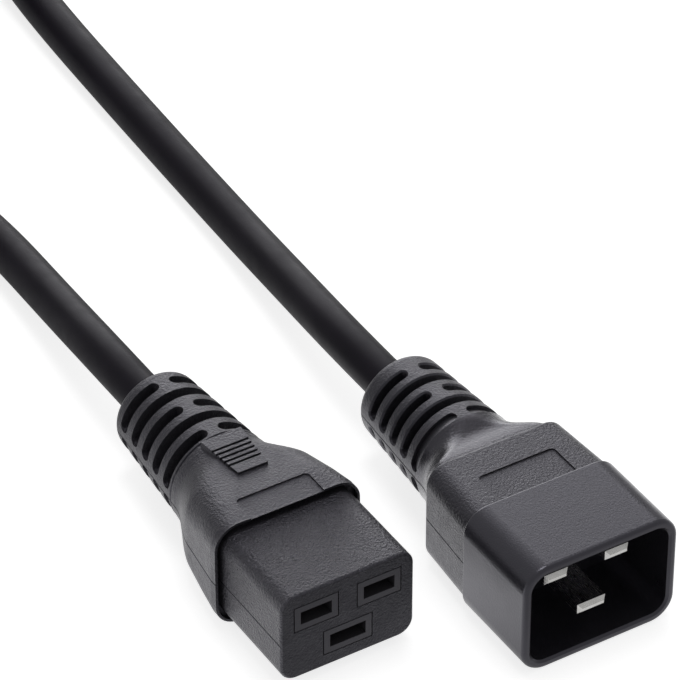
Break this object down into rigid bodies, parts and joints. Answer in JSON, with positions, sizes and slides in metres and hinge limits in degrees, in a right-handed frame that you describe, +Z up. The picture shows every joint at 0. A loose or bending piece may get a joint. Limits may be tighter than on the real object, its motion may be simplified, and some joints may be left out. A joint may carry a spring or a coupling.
{
  "type": "power cord",
  "caption": "Black rack power cord with a C19 socket end and a shrouded C20 plug end, slotted strain reliefs and a round cord that is wound into a tied coil.",
  "frame": {"origin": "on the floor, midway under the box of the two connectors", "axes": "+Z up from the floor, -Y the way both connectors face, +X from the socket end to the plug end"},
  "size_m": [0.096, 0.3481, 0.0411],
  "materials": {
    "overmould": "soft moulded plastic, fine matt grain",
    "insert": "smooth hard plastic, satin",
    "shroud": "smooth hard plastic, satin",
    "nickel": "nickel plated brass",
    "contact": "spring bronze strip",
    "copper": "bare copper strands",
    "line_insulation": "brown core insulation",
    "neutral_insulation": "blue core insulation",
    "earth_insulation": "green and yellow core insulation",
    "jacket": "smooth cord jacket, satin",
    "tie": "flexible strap"
  },
  "bodies": {
    "root": {"c19_earth_contact": "contact", "c19_earth_insulation": "earth_insulation", "c19_earth_strand": "copper", "c19_insert": "insert", "c19_line_contact": "contact", "c19_line_insulation": "line_insulation", "c19_line_strand": "copper", "c19_neutral_contact": "contact", "c19_neutral_insulation": "neutral_insulation", "c19_neutral_strand": "copper", "c19_overmould": "overmould", "c19_sheath_end": "jacket", "c20_earth_blade": "nickel", "c20_earth_insulation": "earth_insulation", "c20_earth_strand": "copper", "c20_line_blade": "nickel", "c20_line_insulation": "line_insulation", "c20_line_strand": "copper", "c20_neutral_blade": "nickel", "c20_neutral_insulation": "neutral_insulation", "c20_neutral_strand": "copper", "c20_overmould": "overmould", "c20_sheath_end": "jacket", "c20_shroud": "shroud", "coil_tie": "tie", "cord_c19_run": "jacket", "cord_c20_run": "jacket", "cord_coil": "jacket"}
  },
  "joints": []
}
